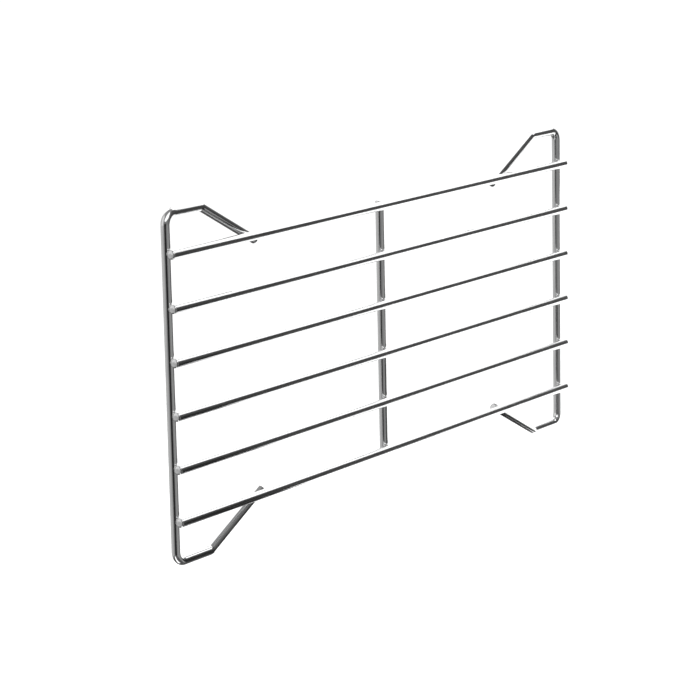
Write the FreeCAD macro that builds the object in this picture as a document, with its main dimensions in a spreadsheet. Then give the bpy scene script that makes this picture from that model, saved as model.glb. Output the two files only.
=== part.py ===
"""Fold-down drying rack panel: nine welded round rods.

Two bent end hoops and a straight centre rod stand in the back plane. Six level rails
cross in front of them and are welded at every crossing. The slanted arms of the hoops end
behind the outer rails and are welded there too.

Frame: millimetres, +X along the rails, +Y towards the wall, +Z up, origin at the middle
of the panel.
"""

import FreeCAD
import Part
import Sketcher
import math
import os
from FreeCAD import Placement, Rotation, Vector

DIMENSIONS = [
    ("rod_dia", 8.0),  # every rod is cut from the same stock
    ("rail_pitch", 46.0),  # rail axis to rail axis
    ("rail_count", 6),
    ("rail_lift", 1.5),  # middle of the rails above the middle of the hoops
    ("upright_span", 620.0),  # end upright axis to end upright axis
    ("hoop_height", 300.0),  # level stretch axis to level stretch axis
    ("bend_radius", 10.0),  # centre line of every bend
    ("level_length", 47.0),  # upright axis to the point where the arm turns down
    ("arm_reach", 121.0),  # upright axis to the end of the arm
    ("arm_drop", 39.0),  # level stretch axis to the end of the arm
    ("set_down", 0.3),  # depth that welding pushes two crossing rods together
    ("end_round", 1.0),  # rounded edge of every cut end
    ("weld_radius", 3.6),  # reach of the weld metal around a contact point
]

UP = Vector(0, 0, 1)


def make_sheet(doc):
    """The driving dimensions, one cell each, with an alias."""
    sheet = doc.addObject("Spreadsheet::Sheet", "dims")
    for row, (name, value) in enumerate(DIMENSIONS, start=1):
        sheet.set("A%d" % row, name)
        sheet.set("B%d" % row, str(value))
        sheet.setAlias("B%d" % row, name)
    doc.recompute()
    return sheet


def origin_plane(body, role):
    """One of the body's own origin planes, such as XZ_Plane."""
    for feature in body.Origin.OriginFeatures:
        if feature.Role == role:
            return feature
    raise RuntimeError("no plane " + role)


def add_sketch(body, name, role):
    """An empty sketch on one of the body's origin planes."""
    sketch = body.newObject("Sketcher::SketchObject", name)
    sketch.AttachmentSupport = [(origin_plane(body, role), "")]
    sketch.MapMode = "FlatFace"
    return sketch


def bind(sketch, constraint, expression):
    """Adds a constraint and drives it from the sheet."""
    index = sketch.addConstraint(constraint)
    sketch.setExpression("Constraints[%d]" % index, expression)


def draw_circle(sketch, radius):
    """The rod's round section about the sketch's origin."""
    circle = sketch.addGeometry(Part.Circle(Vector(0, 0, 0), UP, radius), False)
    sketch.addConstraint(Sketcher.Constraint("Coincident", circle, 3, -1, 1))
    bind(sketch, Sketcher.Constraint("Diameter", circle, 2 * radius), "dims.rod_dia")


def draw_half_hoop(sketch, sheet):
    """Upper half of the hoop's centre line: upright, corner, level stretch, bend, arm.

    The sketch's x runs inward from the upright, and its y runs up.
    """
    top = sheet.hoop_height / 2
    radius = sheet.bend_radius
    slope = math.atan2(sheet.arm_drop, sheet.arm_reach - sheet.level_length)
    level_end = sheet.level_length - radius * math.tan(slope / 2)
    arm_angle = math.pi / 2 - slope
    bend_centre = Vector(level_end, top - radius, 0)
    arm_start = bend_centre + Vector(math.cos(arm_angle), math.sin(arm_angle), 0) * radius
    arm_end = Vector(sheet.arm_reach, top - sheet.arm_drop, 0)
    corner_circle = Part.Circle(Vector(radius, top - radius, 0), UP, radius)
    bend_circle = Part.Circle(bend_centre, UP, radius)

    upright = sketch.addGeometry(Part.LineSegment(Vector(0, 0, 0), Vector(0, top - radius, 0)), False)
    corner = sketch.addGeometry(Part.ArcOfCircle(corner_circle, math.pi / 2, math.pi), False)
    level = sketch.addGeometry(Part.LineSegment(Vector(radius, top, 0), Vector(level_end, top, 0)), False)
    bend = sketch.addGeometry(Part.ArcOfCircle(bend_circle, arm_angle, math.pi / 2), False)
    arm = sketch.addGeometry(Part.LineSegment(arm_start, arm_end), False)
    knee = sketch.addGeometry(Part.Point(Vector(sheet.level_length, top, 0)), True)

    for constraint in (
        Sketcher.Constraint("Coincident", upright, 1, -1, 1),
        Sketcher.Constraint("Vertical", upright),
        Sketcher.Constraint("Tangent", upright, 2, corner, 2),
        Sketcher.Constraint("Tangent", corner, 1, level, 1),
        Sketcher.Constraint("Horizontal", level),
        Sketcher.Constraint("Tangent", level, 2, bend, 2),
        Sketcher.Constraint("Tangent", bend, 1, arm, 1),
        Sketcher.Constraint("PointOnObject", knee, 1, level),
        Sketcher.Constraint("PointOnObject", knee, 1, arm),
        Sketcher.Constraint("Equal", corner, bend),
    ):
        sketch.addConstraint(constraint)
    bind(sketch, Sketcher.Constraint("Radius", corner, radius), "dims.bend_radius")
    bind(sketch, Sketcher.Constraint("DistanceY", -1, 1, level, 1, top), "dims.hoop_height / 2")
    bind(sketch, Sketcher.Constraint("DistanceX", -1, 1, knee, 1, sheet.level_length), "dims.level_length")
    bind(sketch, Sketcher.Constraint("DistanceX", -1, 1, arm, 2, arm_end.x), "dims.arm_reach")
    bind(
        sketch,
        Sketcher.Constraint("DistanceY", -1, 1, arm, 2, arm_end.y),
        "dims.hoop_height / 2 - dims.arm_drop",
    )


def end_edges(shape, places):
    """Names of the round edges centred on the given places."""
    names = []
    for number, edge in enumerate(shape.Edges, start=1):
        if isinstance(edge.Curve, Part.Circle) and edge.isClosed():
            if any((edge.Curve.Center - place).Length < 0.01 for place in places):
                names.append("Edge%d" % number)
    return names


def make_hoop(doc, name, sheet, side):
    """One bent end hoop. The right one is the left one turned half round."""
    body = doc.addObject("PartDesign::Body", name)
    section = add_sketch(body, name + "_section", "XY_Plane")
    draw_circle(section, sheet.rod_dia / 2)
    path = add_sketch(body, name + "_path", "XZ_Plane")
    draw_half_hoop(path, sheet)
    doc.recompute()

    pipe = body.newObject("PartDesign::AdditivePipe", name + "_rod")
    pipe.Profile = section
    pipe.Spine = (path, [])
    doc.recompute()
    mirror = body.newObject("PartDesign::Mirrored", name + "_lower_half")
    mirror.Originals = [pipe]
    mirror.MirrorPlane = (origin_plane(body, "XY_Plane"), [""])
    body.Tip = mirror
    doc.recompute()

    height = sheet.hoop_height / 2 - sheet.arm_drop
    ends = [Vector(sheet.arm_reach, 0, height), Vector(sheet.arm_reach, 0, -height)]
    rounding = body.newObject("PartDesign::Fillet", name + "_ends")
    rounding.Base = (mirror, end_edges(mirror.Shape, ends))
    rounding.setExpression("Radius", "dims.end_round")
    body.Tip = rounding

    if side > 0:
        body.Placement = Placement(Vector(0, 0, 0), Rotation(UP, 180))
    body.setExpression("Placement.Base.x", "%d * dims.upright_span / 2" % side)
    body.setExpression("Placement.Base.y", "(dims.rod_dia - dims.set_down) / 2")
    return body


def make_rod(doc, name, length):
    """A straight rod about +Z with both ends rounded off."""
    rod = doc.addObject("Part::Cylinder", name + "_stock")
    rod.setExpression("Radius", "dims.rod_dia / 2")
    rod.setExpression("Height", length)
    doc.recompute()
    ends = [Vector(0, 0, 0), Vector(0, 0, rod.Height.Value)]
    radius = doc.dims.end_round
    rounding = doc.addObject("Part::Fillet", name)
    rounding.Base = rod
    rounding.Edges = [(int(edge[4:]), radius, radius) for edge in end_edges(rod.Shape, ends)]
    return rounding


def rail_height(number):
    """Height of a rail's axis as an expression. Rail 1 is the top one."""
    return "(((dims.rail_count + 1) / 2 - %s) * dims.rail_pitch + dims.rail_lift)" % number


def make_centre_rod(doc):
    """Upright rod at mid width, cut flush with the outer rails."""
    rod = make_rod(doc, "centre_rod", "(dims.rail_count - 1) * dims.rail_pitch + dims.rod_dia")
    rod.setExpression("Placement.Base.y", "(dims.rod_dia - dims.set_down) / 2")
    rod.setExpression("Placement.Base.z", rail_height("dims.rail_count") + " - dims.rod_dia / 2")
    return rod


def make_rail(doc, number, frame_rods):
    """A level rail with a shallow saddle wherever a rod crosses behind it."""
    name = "rail_%d" % number
    rod = make_rod(doc, name + "_round", "dims.upright_span + dims.rod_dia")
    rod.Placement = Placement(Vector(0, 0, 0), Rotation(Vector(0, 1, 0), 90))
    rod.setExpression("Placement.Base.x", "-(dims.upright_span + dims.rod_dia) / 2")
    rod.setExpression("Placement.Base.y", "-(dims.rod_dia - dims.set_down) / 2")
    rod.setExpression("Placement.Base.z", rail_height(number))
    rail = doc.addObject("Part::Cut", name)
    rail.Base = rod
    rail.Tool = frame_rods
    return rail


def make_weld(doc, name, across, height, rods):
    """Weld metal that fills the wedge round a contact point, between the two rods."""
    ball = doc.addObject("Part::Sphere", name + "_reach")
    ball.setExpression("Radius", "dims.weld_radius")
    ball.setExpression("Placement.Base.x", across)
    ball.setExpression("Placement.Base.z", height)
    weld = doc.addObject("Part::Cut", name)
    weld.Base = ball
    weld.Tool = rods
    return weld


def make_rail_welds(doc, number, rods):
    """The three welds along one rail."""
    places = (("left", "-dims.upright_span / 2"), ("centre", "0"), ("right", "dims.upright_span / 2"))
    return [
        make_weld(doc, "weld_%s_%d" % (side, number), across, rail_height(number), rods)
        for side, across in places
    ]


def make_arm_welds(doc, rods):
    """Where an arm's axis passes behind an outer rail's axis."""
    run_per_drop = "(dims.arm_reach - dims.level_length) / dims.arm_drop"
    welds = []
    for end, number, upward in (("top", "1", 1), ("bottom", "dims.rail_count", -1)):
        height = rail_height(number)
        drop = "(dims.hoop_height / 2 - %d * %s)" % (upward, height)
        inward = "(dims.level_length + %s * %s)" % (drop, run_per_drop)
        for side, sign in (("left", -1), ("right", 1)):
            across = "%d * (dims.upright_span / 2 - %s)" % (sign, inward)
            welds.append(make_weld(doc, "weld_arm_%s_%s" % (end, side), across, height, rods))
    return welds


def make_group(doc, name, members):
    """Several rods as one cutting tool."""
    group = doc.addObject("Part::Compound", name)
    group.Links = members
    return group


def check(doc, nodes):
    """Stops on any failed object, and on any sub-part whose shape is not sound.

    An arm weld is two fillets, one each side of the arm. Every other sub-part is one solid.
    """
    for item in doc.Objects:
        if "Invalid" in item.State or "Error" in item.State:
            raise RuntimeError("%s failed: %s" % (item.Name, item.State))
    for node in nodes:
        shape = node.Shape
        solids = 2 if node.Label.startswith("weld_arm") else 1
        if shape.isNull() or not shape.isValid() or len(shape.Solids) != solids:
            raise RuntimeError("%s has an unsound shape of %d solids" % (node.Label, len(shape.Solids)))


def main():
    doc = FreeCAD.newDocument("drying_rack")
    sheet = make_sheet(doc)
    left = make_hoop(doc, "end_hoop_left", sheet, -1)
    right = make_hoop(doc, "end_hoop_right", sheet, 1)
    centre = make_centre_rod(doc)
    frame_rods = make_group(doc, "frame_rods", [left, centre, right])
    doc.recompute()

    nodes = [left, right, centre]
    for number in range(1, int(sheet.rail_count) + 1):
        rail = make_rail(doc, number, frame_rods)
        rods = make_group(doc, "rods_at_rail_%d" % number, [left, centre, right, rail])
        nodes.append(rail)
        nodes += make_rail_welds(doc, number, rods)
    outer_rails = [node for node in nodes if node.Name in ("rail_1", "rail_%d" % sheet.rail_count)]
    nodes += make_arm_welds(doc, make_group(doc, "rods_at_arms", [left, right] + outer_rails))
    doc.recompute()

    check(doc, nodes)
    os.makedirs("parts", exist_ok=True)
    for node in nodes:
        node.Shape.exportStep("parts/%s.step" % node.Label)
        print("%-26s %9.1f mm3" % (node.Label, node.Shape.Volume))


main()
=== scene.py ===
"""Looks of the drying rack panel: nine bright round rods welded at every crossing.

Each CAD rod is shown by a finely swept rod with softened, sawn ends, and each CAD weld by
a small bead with ripples. The studio is a plain white floor and soft white light, with
cards and flags out of sight that the polished metal mirrors.
"""

import math
import random

import bpy
from mathutils import Matrix, Vector


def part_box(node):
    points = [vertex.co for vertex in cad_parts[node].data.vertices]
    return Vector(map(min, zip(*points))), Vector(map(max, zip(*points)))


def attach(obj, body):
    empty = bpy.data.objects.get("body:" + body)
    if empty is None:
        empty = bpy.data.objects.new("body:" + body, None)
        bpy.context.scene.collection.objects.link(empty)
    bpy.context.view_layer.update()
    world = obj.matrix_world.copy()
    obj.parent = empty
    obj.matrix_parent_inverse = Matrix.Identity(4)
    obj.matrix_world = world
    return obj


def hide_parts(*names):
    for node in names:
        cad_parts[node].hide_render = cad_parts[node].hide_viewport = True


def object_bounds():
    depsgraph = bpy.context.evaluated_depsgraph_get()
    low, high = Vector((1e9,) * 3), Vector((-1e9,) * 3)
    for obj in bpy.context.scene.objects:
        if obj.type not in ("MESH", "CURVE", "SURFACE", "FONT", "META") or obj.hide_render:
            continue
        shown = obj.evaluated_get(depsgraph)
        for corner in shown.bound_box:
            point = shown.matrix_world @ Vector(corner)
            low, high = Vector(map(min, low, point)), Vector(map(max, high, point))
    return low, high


# The hoop's centre line where its box doesn't give it. All lengths are in metres.
BEND_RADIUS = 0.010
LEVEL_LENGTH = 0.047
ARM_REACH = 0.121
ARM_DROP = 0.039

END_ROUND = 0.0012  # how far the rounding of a rod end runs along the rod
END_STEPS = 8
END_FULLNESS = 0.75  # 1 is an even dome and 0 is a square end
SHOULDER = 1.25 * END_ROUND  # second full ring, which keeps the dome's shading off the rod
RING = 96  # points round a rod
BEND_STEPS = 20  # rings along a quarter turn
RUN_STEP = 0.010  # rings along a straight run
SHARP_TURN = math.radians(28.0)  # edges that turn more than this are shaded sharp

# A bead's outline lies where the two rods are BEAD_GAP apart, looked for from BEAD_LEAST out to
# BEAD_LIMIT. It is uneven by waves that go round it 3 to 6 times.
BEAD_GAP = 0.0013
BEAD_LEAST = 0.0015
BEAD_LIMIT = 0.0050
BEAD_SEARCH = 0.00005
BEAD_WAVES = range(3, 7)
BEAD_SWELL = 0.018  # height of a wave, as a share of the reach
BEAD_WAIST = 0.00045  # hollow between the two rods
BEAD_SUNK = 0.0002  # depth that its rims sink into the rods
BEAD_CORE = 0.0012  # depth of its hidden middle
BEAD_OPEN = (-0.0006, 0.0006)  # its two rims where it passes the edge of a rod
BEAD_ROUND = 72
BEAD_ACROSS = 10

CAMERA_PLACE = Vector((-2.0908, -1.4654, 0.5016))
CAMERA_AZIMUTH = math.radians(54.23)  # from +Y towards +X
CAMERA_ELEVATION = math.radians(11.53)  # downwards
CAMERA_ROLL = math.radians(-1.175)
CAMERA_LENS = 144.36  # in millimetres, like the sensor
CAMERA_SENSOR = 36.0

FLOOR_DROP = 0.60
FLOOR_REACH = 40.0
FLOOR_CORNERS = 72

SOFTBOX_PLACE = Vector((0.3, -0.4, 2.2))
SOFTBOX_SIZE = 2.0
SOFTBOX_WATTS = 60.0

# Brightness of the studio: WHITE is what the eye sees, the rest is what the polish mirrors.
WHITE = 1.15
CARD_WHITE = 1.50
CARD_GREY = 0.40
FLAG_DARK = 0.02
UNDERFOOT = 0.10
ZENITH = 0.28

# Walls as (bearing in degrees from +X towards +Y, brightness).
WALL_BELOW = (
    (-180, 0.24), (-145, 0.20), (-118, 0.22), (-90, 0.30), (-60, 0.30), (-44, 0.05), (-38, 0.04),
    (-34, 0.09), (-22, 0.10), (-4, 0.45), (14, 0.90), (28, 0.75), (38, 0.30), (42, 0.12),
    (44, 0.10), (62, 0.20), (80, 0.62), (105, 0.56), (160, 0.42), (180, 0.24),
)
WALL_ABOVE = (
    (-180, 0.24), (-145, 0.20), (-118, 0.22), (-75, 0.20), (-55, 0.075), (-44, 0.05), (-38, 0.05),
    (-34, 0.075), (-20, 0.075), (-4, 0.30), (10, 0.90), (28, 0.75), (39, 0.60), (42, 0.08),
    (44, 0.06), (62, 0.10), (80, 0.50), (105, 0.50), (122, 0.80), (160, 0.80), (180, 0.24),
)
WALL_HIGH = (
    (-180, 0.24), (-145, 0.20), (-118, 0.22), (-75, 0.20), (-55, 0.075), (-20, 0.075), (-4, 0.30),
    (10, 1.50), (39, 1.50), (42, 0.20), (45, 0.20), (47, 1.50), (66, 1.50), (84, 0.60),
    (105, 0.50), (122, 0.80), (160, 0.80), (180, 0.24),
)

# Upper edge of each part of the room, as the Z of the directions where it fades into the next.
UNDERFOOT_EDGE = (-0.64, -0.52)
BELOW_EDGE = (-0.16, -0.02)
ABOVE_EDGE = (0.06, 0.12)
HIGH_EDGE = (0.70, 0.85)

# Level cards and flags round the panel: a height, and corners as (x, y).
OVERHEAD_HEIGHT = 1.0
LOW_HEIGHT = -0.74
OVERHEAD_CARD = (
    (0.25, -0.40), (0.75, -0.45), (1.30, -1.05), (1.87, -1.35), (1.87, 1.10), (0.25, 0.75),
)
LEFT_CARD = ((-2.20, -2.20), (-0.15, -2.20), (-0.15, -0.35), (-2.20, -0.35))
LOW_CARD = (
    (0.62, -0.20), (0.90, -0.40), (1.50, -0.73), (2.08, -0.81), (6.00, -1.60), (6.00, 3.60),
    (2.00, 1.20), (0.72, 0.60), (0.70, 0.30), (0.62, 0.00),
)
CORNER_HEIGHT = -0.70
CORNER_CARD = ((-0.95, -0.12), (-0.22, -0.12), (-0.22, 0.16), (-0.95, 0.16))
GREY_CARD = (
    (0.20, -0.55), (0.34, -0.45), (0.46, -0.62), (0.46, -0.72), (0.75, -0.92), (1.15, -1.25),
    (1.35, -1.45), (1.20, -1.65), (0.80, -1.35), (0.50, -1.00),
)
UNDER_HEIGHT = -0.735
UNDER_FLAG = (
    (0.46, -0.70), (1.15, -0.80), (1.05, -0.57), (0.90, -0.47), (0.60, -0.24), (0.60, 0.16),
    (0.46, 0.16),
)

# Upright cards and flags: the card's corners as (y, z), and the flags' two edges as (x, y) with
# their lower and upper heights.
RIGHT_CARD_X = 1.0
RIGHT_CARD = (
    (-0.56, -0.36), (-0.56, -0.55), (-0.37, -0.60), (0.40, -0.60), (0.40, 0.00), (-0.33, -0.02),
    (-0.38, -0.20), (-0.47, -0.24),
)
LEFT_FLAG = ((-0.80, -0.09), (-0.575, -0.42))
LEFT_FLAG_HEIGHTS = (-0.45, 0.20)
FRONT_FLAG = ((0.02, -0.30), (0.17, -0.30))
FRONT_FLAG_HEIGHTS = (-0.35, -0.09)

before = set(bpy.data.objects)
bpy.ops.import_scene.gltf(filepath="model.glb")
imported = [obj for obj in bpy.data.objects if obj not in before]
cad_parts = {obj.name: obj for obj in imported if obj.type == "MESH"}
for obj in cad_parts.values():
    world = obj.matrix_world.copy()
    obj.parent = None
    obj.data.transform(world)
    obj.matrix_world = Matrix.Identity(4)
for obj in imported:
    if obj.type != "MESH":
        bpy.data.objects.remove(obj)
cad_box = [list(corner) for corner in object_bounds()]


# ---------------------------------------------------------------- materials


def node(tree, kind, **settings):
    """A new node with its properties and unlinked inputs set."""
    made = tree.nodes.new(kind)
    for name, value in settings.items():
        if name in made.inputs:
            made.inputs[name].default_value = value
        else:
            setattr(made, name, value)
    return made


def new_material(name):
    """An empty node material with its tree and its metal shader."""
    material = bpy.data.materials.new(name)
    material.use_nodes = True
    tree = material.node_tree
    tree.nodes.clear()
    shader = node(tree, "ShaderNodeBsdfPrincipled", Metallic=1.0)
    output = node(tree, "ShaderNodeOutputMaterial")
    tree.links.new(shader.outputs["BSDF"], output.inputs["Surface"])
    return material, tree, shader


def grain(tree, attribute, scale, detail=3.0):
    """Noise over a surface coordinate in metres, stretched by scale, in cells a metre."""
    place = node(tree, "ShaderNodeAttribute", attribute_name=attribute)
    stretch = node(tree, "ShaderNodeMapping", vector_type="POINT", Scale=scale)
    noise = node(tree, "ShaderNodeTexNoise", Scale=1.0, Detail=detail, Roughness=0.55)
    tree.links.new(place.outputs["Vector"], stretch.inputs["Vector"])
    tree.links.new(stretch.outputs["Vector"], noise.inputs["Vector"])
    return noise.outputs["Fac"]


def spread(tree, source, low, high, start=0.3, end=0.7):
    """source between start and end, as a number between low and high."""
    ranged = node(tree, "ShaderNodeMapRange", clamp=True)
    for name, value in (("From Min", start), ("From Max", end), ("To Min", low), ("To Max", high)):
        ranged.inputs[name].default_value = value
    tree.links.new(source, ranged.inputs["Value"])
    return ranged.outputs["Result"]


def two_tones(tree, source, dark, light):
    """A colour between dark and light, as source goes from 0.3 to 0.7."""
    ramp = node(tree, "ShaderNodeValToRGB")
    ramp.color_ramp.elements[0].position = 0.3
    ramp.color_ramp.elements[0].color = (*dark, 1.0)
    ramp.color_ramp.elements[1].position = 0.7
    ramp.color_ramp.elements[1].color = (*light, 1.0)
    tree.links.new(source, ramp.inputs["Fac"])
    return ramp.outputs["Color"]


def add_relief(tree, shader, layers):
    """Stacks bumps, each (height, depth in metres), under the shader's normal."""
    normal = None
    for height, depth in layers:
        bump = node(tree, "ShaderNodeBump", Strength=1.0, Distance=depth)
        tree.links.new(height, bump.inputs["Height"])
        if normal:
            tree.links.new(normal, bump.inputs["Normal"])
        normal = bump.outputs["Normal"]
    tree.links.new(normal, shader.inputs["Normal"])


def sum_of(tree, first, second):
    """first plus second."""
    added = node(tree, "ShaderNodeMath", operation="ADD")
    tree.links.new(first, added.inputs[0])
    tree.links.new(second, added.inputs[1])
    return added.outputs["Value"]


def rod_finish():
    """Bright drawn and polished rod: fine lines along it, faint wipe marks, soft mottling."""
    material, tree, shader = new_material("polished_rod")
    lines = grain(tree, "drawn", (14.0, 3200.0, 3200.0), 4.0)
    wipes = grain(tree, "drawn", (55.0, 420.0, 420.0))
    mottle = grain(tree, "drawn", (900.0, 900.0, 900.0))
    colour = two_tones(tree, wipes, (0.77, 0.775, 0.785), (0.86, 0.86, 0.855))
    roughness = sum_of(tree, spread(tree, lines, 0.0, 0.05), spread(tree, wipes, 0.05, 0.11))
    tree.links.new(colour, shader.inputs["Base Color"])
    tree.links.new(roughness, shader.inputs["Roughness"])
    add_relief(tree, shader, ((lines, 3.0e-6), (mottle, 4.0e-6)))
    return material


def cut_finish():
    """Sawn end face: straight saw lines with a burnished look."""
    material, tree, shader = new_material("cut_face")
    saw = grain(tree, "drawn", (900.0, 4500.0, 260.0), 4.0)
    patches = grain(tree, "drawn", (300.0, 300.0, 300.0))
    colour = two_tones(tree, patches, (0.70, 0.70, 0.71), (0.83, 0.83, 0.83))
    tree.links.new(colour, shader.inputs["Base Color"])
    tree.links.new(spread(tree, saw, 0.12, 0.26), shader.inputs["Roughness"])
    add_relief(tree, shader, ((saw, 2.0e-5),))
    return material


def weld_finish():
    """Weld metal under the same plating: duller, rippled and slightly warmer."""
    material, tree, shader = new_material("weld_metal")
    ripple = grain(tree, "drawn", (1700.0, 1700.0, 1700.0), 2.0)
    pits = grain(tree, "drawn", (5200.0, 5200.0, 5200.0), 4.0)
    colour = two_tones(tree, ripple, (0.60, 0.595, 0.59), (0.76, 0.755, 0.75))
    tree.links.new(colour, shader.inputs["Base Color"])
    tree.links.new(spread(tree, pits, 0.16, 0.34), shader.inputs["Roughness"])
    add_relief(tree, shader, ((ripple, 9.0e-5), (pits, 1.5e-5)))
    return material


ROD = rod_finish()
CUT = cut_finish()
WELD = weld_finish()


# ------------------------------------------------------------------- pieces


def axis_of(node_name):
    """The middle of a CAD node's box."""
    low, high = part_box(node_name)
    return (low + high) / 2


rail_low, rail_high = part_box("rail_1")
rod_radius = (rail_high.z - rail_low.z) / 2
rail_depth = rail_low.y + rod_radius
hoop_depth = axis_of("centre_rod").y  # the centre rod lies in the plane of the hoops
contact_depth = (rail_depth + hoop_depth) / 2
half_set = (hoop_depth - rail_depth) / 2  # from the contact to either axis


def make_piece(name, node_name, points, faces, places, material_of_face, materials):
    """A mesh piece on the root body that stands for one CAD node."""
    mesh = bpy.data.meshes.new(name)
    mesh.from_pydata([tuple(p) for p in points], [], faces)
    for material in materials:
        mesh.materials.append(material)
    mesh.polygons.foreach_set("material_index", material_of_face)
    drawn = mesh.attributes.new("drawn", "FLOAT_VECTOR", "POINT")
    drawn.data.foreach_set("vector", [x for place in places for x in place])
    mesh.shade_smooth()
    mesh.set_sharp_from_angle(angle=SHARP_TURN)
    piece = bpy.data.objects.new(name, mesh)
    bpy.context.scene.collection.objects.link(piece)
    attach(piece, "root")
    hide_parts(node_name)


def sweep_rod(name, node_name, line, radius):
    """A round rod along a line of points in a plane of constant Y, with softened sawn ends."""
    tangents = []
    for i in range(len(line)):
        before = line[max(i - 1, 0)]
        after = line[min(i + 1, len(line) - 1)]
        tangents.append((after - before).normalized())
    along = [0.0]
    for a, b in zip(line, line[1:]):
        along.append(along[-1] + (b - a).length)
    total = along[-1]

    # Rings as (distance along, ring radius, centre, tangent): domed end, rod, domed end.
    ends = [(SHOULDER, radius), (END_ROUND, radius)]
    for i in range(1, END_STEPS):
        turn = math.pi / 2 * i / END_STEPS
        ends.append((END_ROUND * (1 - math.sin(turn)), radius * math.cos(turn) ** END_FULLNESS))
    rings = [(s, r, line[0] + tangents[0] * s, tangents[0]) for s, r in reversed(ends)]
    rings += [(s, radius, p, t) for s, p, t in list(zip(along, line, tangents))[1:-1]]
    rings += [(total - s, r, line[-1] - tangents[-1] * s, tangents[-1]) for s, r in ends]

    points, places = [], []
    for s, r, centre, tangent in rings:
        side = tangent.cross(Vector((0, 1, 0)))
        for k in range(RING):
            turn = 2 * math.pi * k / RING
            offset = side * math.cos(turn) * r + Vector((0, math.sin(turn) * r, 0))
            points.append(centre + offset)
            places.append((s, math.cos(turn) * r, math.sin(turn) * r))
    faces = []
    for j in range(len(rings) - 1):
        for k in range(RING):
            a, b = j * RING + k, j * RING + (k + 1) % RING
            faces.append((a, b, b + RING, a + RING))
    finish = [0] * len(faces)
    last = (len(rings) - 1) * RING
    for centre, s, first, order in ((line[0], 0.0, 0, 1), (line[-1], total, last, -1)):
        points.append(centre)
        places.append((s, 0.0, 0.0))
        for k in range(RING):
            rim = (first + k, first + (k + 1) % RING)
            faces.append((len(points) - 1, *rim[::-order]))
            finish.append(1)
    make_piece(name, node_name, points, faces, places, finish, [ROD, CUT])


def straight(start, end):
    """Evenly spaced points from start to end."""
    steps = max(2, round((end - start).length / RUN_STEP))
    return [start.lerp(end, i / steps) for i in range(steps + 1)]


def rounded(corners, radius):
    """Points along straight runs between corners, with every inner corner rounded."""
    line, start = [], corners[0]
    for before, corner, after in zip(corners, corners[1:], corners[2:]):
        back, ahead = (before - corner).normalized(), (after - corner).normalized()
        half = back.angle(ahead) / 2
        reach = radius / math.tan(half)
        entry = corner + back * reach
        centre = corner + (back + ahead).normalized() * (radius / math.sin(half))
        line += straight(start, entry)[:-1]
        arm = entry - centre
        turn = math.pi - 2 * half
        axis = arm.cross(corner + ahead * reach - centre).normalized()
        steps = max(4, round(BEND_STEPS * turn / (math.pi / 2)))
        for i in range(steps):
            line.append(centre + Matrix.Rotation(turn * i / steps, 3, axis) @ arm)
        start = centre + Matrix.Rotation(turn, 3, axis) @ arm
    return line + straight(start, corners[-1])


def make_hoop(side_name, side):
    """An end hoop: arm, level stretch, upright, level stretch, arm."""
    node_name = "end_hoop_" + side_name
    low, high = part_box(node_name)
    upright = (low.x if side < 0 else high.x) - side * rod_radius
    top = high.z - rod_radius
    depth = (low.y + high.y) / 2
    half = []
    for inward, drop in ((ARM_REACH, ARM_DROP), (LEVEL_LENGTH, 0.0), (0.0, 0.0)):
        half.append(Vector((upright - side * inward, depth, top - drop)))
    corners = half + [Vector((p.x, p.y, -p.z)) for p in reversed(half)]
    sweep_rod("hoop_" + side_name, node_name, rounded(corners, BEND_RADIUS), rod_radius)


def make_straight_rod(name, node_name, direction):
    """A straight rod along one axis, as long as its CAD node."""
    low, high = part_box(node_name)
    middle = (low + high) / 2
    reach = direction * ((high - low).dot(direction) / 2)
    sweep_rod(name, node_name, straight(middle - reach, middle + reach), rod_radius)


def rod_gap(x, z, slant):
    """Heights of the rail's and the other rod's skins about the contact, at one spot."""
    off = z * math.cos(slant) - x * math.sin(slant)
    if abs(z) >= rod_radius or abs(off) >= rod_radius:
        return None
    rail_skin = -half_set + math.sqrt(rod_radius**2 - z * z)
    other_skin = half_set - math.sqrt(rod_radius**2 - off * off)
    return rail_skin, other_skin


def bead_reach(turn, slant):
    """How far out the bead goes in one direction."""
    reach = BEAD_LEAST
    while reach < BEAD_LIMIT:
        skins = rod_gap(reach * math.cos(turn), reach * math.sin(turn), slant)
        if skins is None or skins[1] - skins[0] > BEAD_GAP:
            break
        reach += BEAD_SEARCH
    return reach


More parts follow.
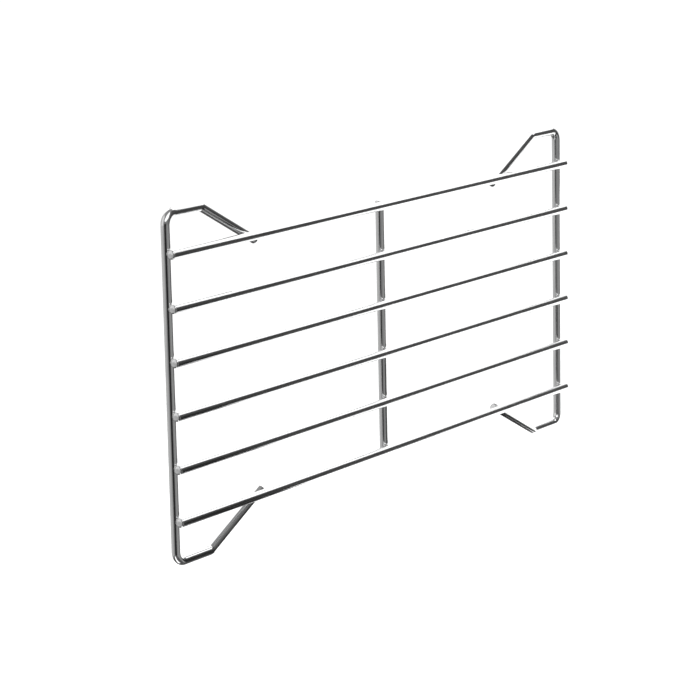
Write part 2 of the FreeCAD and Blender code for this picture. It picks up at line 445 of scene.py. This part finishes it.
def make_bead(node_name, contact, slant, seed):
    """Weld metal between a rail and the rod behind it, which slants from +X by slant."""
    chance = random.Random(seed)
    waves = [(n, chance.uniform(0, 2 * math.pi), chance.uniform(0.4, 1.0)) for n in BEAD_WAVES]
    points, places, faces = [], [], []
    for k in range(BEAD_ROUND):
        turn = 2 * math.pi * k / BEAD_ROUND
        swell = sum(size * math.sin(n * turn + phase) for n, phase, size in waves)
        reach = bead_reach(turn, slant) * (1 + BEAD_SWELL * swell)
        for j in range(BEAD_ACROSS + 1):
            share = j / BEAD_ACROSS
            waist = BEAD_WAIST * math.sin(math.pi * share)
            x, z = (reach - waist) * math.cos(turn), (reach - waist) * math.sin(turn)
            skins = rod_gap(x, z, slant) or BEAD_OPEN
            y = (skins[0] - BEAD_SUNK) + share * (skins[1] - skins[0] + 2 * BEAD_SUNK)
            points.append(contact + Vector((x, y, z)))
            places.append((x, y, z))
    row = BEAD_ACROSS + 1
    for k in range(BEAD_ROUND):
        for j in range(BEAD_ACROSS):
            a, b = k * row + j, ((k + 1) % BEAD_ROUND) * row + j
            faces.append((a, a + 1, b + 1, b))
    for j, depth, order in ((0, -BEAD_CORE, 1), (BEAD_ACROSS, BEAD_CORE, -1)):
        points.append(contact + Vector((0, depth, 0)))
        places.append((0, depth, 0))
        for k in range(BEAD_ROUND):
            rim = (k * row + j, ((k + 1) % BEAD_ROUND) * row + j)
            faces.append((len(points) - 1, *rim[::order]))
    finish = [0] * len(faces)
    make_piece(node_name + "_bead", node_name, points, faces, places, finish, [WELD])


make_hoop("left", -1)
make_hoop("right", 1)
make_straight_rod("centre", "centre_rod", Vector((0, 0, 1)))
for rail in sorted(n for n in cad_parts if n.startswith("rail_")):
    make_straight_rod(rail + "_rod", rail, Vector((1, 0, 0)))

arm_slant = math.atan2(ARM_DROP, ARM_REACH - LEVEL_LENGTH)
for number, weld in enumerate(sorted(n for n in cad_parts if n.startswith("weld_"))):
    middle = axis_of(weld)
    contact = Vector((middle.x, contact_depth, middle.z))
    if weld.startswith("weld_arm"):
        contact.z = axis_of("rail_1" if "top" in weld else "rail_6").z
        leans = 1 if ("top" in weld) == ("right" in weld) else -1
        make_bead(weld, contact, leans * arm_slant, number)
    else:
        contact.z = axis_of("rail_" + weld[-1]).z
        make_bead(weld, contact, math.pi / 2, number)


# ------------------------------------------------------------------- studio


def make_floor():
    """The plain white floor, far enough below that no shadow reaches the picture."""
    level = cad_box[0][2] - FLOOR_DROP
    mesh = bpy.data.meshes.new("floor")
    turns = [2 * math.pi * k / FLOOR_CORNERS for k in range(FLOOR_CORNERS)]
    ring = [(FLOOR_REACH * math.cos(a), FLOOR_REACH * math.sin(a), level) for a in turns]
    mesh.from_pydata(ring, [], [tuple(range(len(ring)))])
    material, tree, shader = new_material("floor_paper")
    shader.inputs["Metallic"].default_value = 0.0
    shader.inputs["Roughness"].default_value = 0.8
    place = node(tree, "ShaderNodeTexCoord")
    noise = node(tree, "ShaderNodeTexNoise", Scale=9.0, Detail=4.0)
    tree.links.new(place.outputs["Object"], noise.inputs["Vector"])
    colour = two_tones(tree, noise.outputs["Fac"], (0.93, 0.93, 0.93), (0.96, 0.96, 0.96))
    tree.links.new(colour, shader.inputs["Base Color"])
    mesh.materials.append(material)
    floor = bpy.data.objects.new("floor", mesh)
    bpy.context.scene.collection.objects.link(floor)
    floor.visible_glossy = False


def make_world():
    """White all round to the eye. In the polish, a studio with light and dark walls."""
    world = bpy.data.worlds.new("studio")
    world.use_nodes = True
    tree = world.node_tree
    tree.nodes.clear()
    path = node(tree, "ShaderNodeLightPath")
    white = node(tree, "ShaderNodeBackground", Color=(1, 1, 1, 1), Strength=WHITE)
    studio = node(tree, "ShaderNodeBackground", Strength=1.0)
    tree.links.new(studio_walls(tree), studio.inputs["Color"])
    mix = node(tree, "ShaderNodeMixShader")
    tree.links.new(path.outputs["Is Glossy Ray"], mix.inputs[0])
    tree.links.new(white.outputs["Background"], mix.inputs[1])
    tree.links.new(studio.outputs["Background"], mix.inputs[2])
    output = node(tree, "ShaderNodeOutputWorld")
    tree.links.new(mix.outputs["Shader"], output.inputs["Surface"])
    bpy.context.scene.world = world


def ring_of_light(tree, bearing, stops):
    """Brightness round the studio, from stops of (degrees, brightness)."""
    ring = node(tree, "ShaderNodeValToRGB")
    ramp = ring.color_ramp.elements
    while len(ramp) < len(stops):
        ramp.new(0.5)
    for element, (degrees, value) in zip(ramp, stops):
        element.position = (degrees + 180) / 360
        element.color = (value, value, value, 1.0)
    tree.links.new(bearing, ring.inputs["Fac"])
    return ring.outputs["Color"]


def mixed(tree, share, first, second):
    """first where share is 0 and second, a colour or a value, where share is 1."""
    # A mix of colours takes them at inputs 6 and 7 and gives its result at output 2.
    mix = node(tree, "ShaderNodeMix", data_type="RGBA")
    tree.links.new(share, mix.inputs[0])
    tree.links.new(first, mix.inputs[6])
    if isinstance(second, float):
        mix.inputs[7].default_value = (second, second, second, 1.0)
    else:
        tree.links.new(second, mix.inputs[7])
    return mix.outputs[2]


def studio_walls(tree):
    """Brightness by direction: three tiers of wall, a ceiling and a dark floor."""
    place = node(tree, "ShaderNodeTexCoord")
    split = node(tree, "ShaderNodeSeparateXYZ")
    tree.links.new(place.outputs["Generated"], split.inputs["Vector"])
    angle = node(tree, "ShaderNodeMath", operation="ARCTAN2")
    tree.links.new(split.outputs["Y"], angle.inputs[0])
    tree.links.new(split.outputs["X"], angle.inputs[1])
    bearing = spread(tree, angle.outputs["Value"], 0.0, 1.0, -math.pi, math.pi)
    steepness = split.outputs["Z"]
    below = ring_of_light(tree, bearing, WALL_BELOW)
    above = ring_of_light(tree, bearing, WALL_ABOVE)
    high = ring_of_light(tree, bearing, WALL_HIGH)
    light = mixed(tree, spread(tree, steepness, 0.0, 1.0, *BELOW_EDGE), below, above)
    light = mixed(tree, spread(tree, steepness, 0.0, 1.0, *ABOVE_EDGE), light, high)
    light = mixed(tree, spread(tree, steepness, 0.0, 1.0, *HIGH_EDGE), light, ZENITH)
    return mixed(tree, spread(tree, steepness, 1.0, 0.0, *UNDERFOOT_EDGE), light, UNDERFOOT)


def make_card(name, corners, brightness):
    """A flat card of even brightness that only shows in the polish."""
    mesh = bpy.data.meshes.new(name)
    mesh.from_pydata(corners, [], [tuple(range(len(corners)))])
    material = bpy.data.materials.new(name)
    material.use_nodes = True
    tree = material.node_tree
    tree.nodes.clear()
    glow = node(tree, "ShaderNodeEmission", Color=(1, 1, 1, 1), Strength=brightness)
    output = node(tree, "ShaderNodeOutputMaterial")
    tree.links.new(glow.outputs["Emission"], output.inputs["Surface"])
    mesh.materials.append(material)
    card = bpy.data.objects.new(name, mesh)
    bpy.context.scene.collection.objects.link(card)
    card.visible_camera = False
    card.visible_diffuse = False
    card.visible_shadow = False


def level_at(height, corners):
    """The corners of a level card at a height."""
    return [(x, y, height) for x, y in corners]


def upright_between(edges, heights):
    """The corners of an upright card, from its two edges seen from above and its two heights."""
    (x0, y0), (x1, y1) = edges
    low, high = heights
    return [(x0, y0, low), (x1, y1, low), (x1, y1, high), (x0, y0, high)]


def make_softbox():
    """A square soft box overhead that faces the panel and doesn't show in the polish."""
    data = bpy.data.lights.new("softbox_top", "AREA")
    data.shape = "SQUARE"
    data.size = SOFTBOX_SIZE
    data.energy = SOFTBOX_WATTS
    light = bpy.data.objects.new("softbox_top", data)
    light.location = SOFTBOX_PLACE
    light.rotation_mode = "QUATERNION"
    light.rotation_quaternion = (-SOFTBOX_PLACE).to_track_quat("-Z", "Y")
    light.visible_glossy = False
    bpy.context.scene.collection.objects.link(light)


def make_camera():
    """The camera, in front of the panel, to its left and above it, and rolled a little."""
    data = bpy.data.cameras.new("camera")
    data.lens = CAMERA_LENS
    data.sensor_width = CAMERA_SENSOR
    camera = bpy.data.objects.new("camera", data)
    ahead = Vector((
        math.sin(CAMERA_AZIMUTH) * math.cos(CAMERA_ELEVATION),
        math.cos(CAMERA_AZIMUTH) * math.cos(CAMERA_ELEVATION),
        -math.sin(CAMERA_ELEVATION),
    ))
    level = ahead.cross(Vector((0, 0, 1))).normalized()
    lift = level.cross(ahead)
    right = level * math.cos(CAMERA_ROLL) + lift * math.sin(CAMERA_ROLL)
    up = lift * math.cos(CAMERA_ROLL) - level * math.sin(CAMERA_ROLL)
    turn = Matrix((right, up, -ahead)).transposed().to_4x4()
    camera.matrix_world = Matrix.Translation(CAMERA_PLACE) @ turn
    bpy.context.scene.collection.objects.link(camera)
    bpy.context.scene.camera = camera


make_floor()
make_world()
make_card("overhead_card", level_at(OVERHEAD_HEIGHT, OVERHEAD_CARD), CARD_WHITE)
make_card("left_card", level_at(OVERHEAD_HEIGHT, LEFT_CARD), CARD_WHITE)
make_card("low_card", level_at(LOW_HEIGHT, LOW_CARD), CARD_WHITE)
make_card("right_card", [(RIGHT_CARD_X, y, z) for y, z in RIGHT_CARD], CARD_WHITE)
make_card("corner_card", level_at(CORNER_HEIGHT, CORNER_CARD), CARD_WHITE)
make_card("grey_card", level_at(LOW_HEIGHT, GREY_CARD), CARD_GREY)
make_card("left_flag", upright_between(LEFT_FLAG, LEFT_FLAG_HEIGHTS), FLAG_DARK)
make_card("under_flag", level_at(UNDER_HEIGHT, UNDER_FLAG), FLAG_DARK)
make_card("front_flag", upright_between(FRONT_FLAG, FRONT_FLAG_HEIGHTS), FLAG_DARK)
make_softbox()
make_camera()
bpy.context.scene.view_settings.view_transform = "Standard"
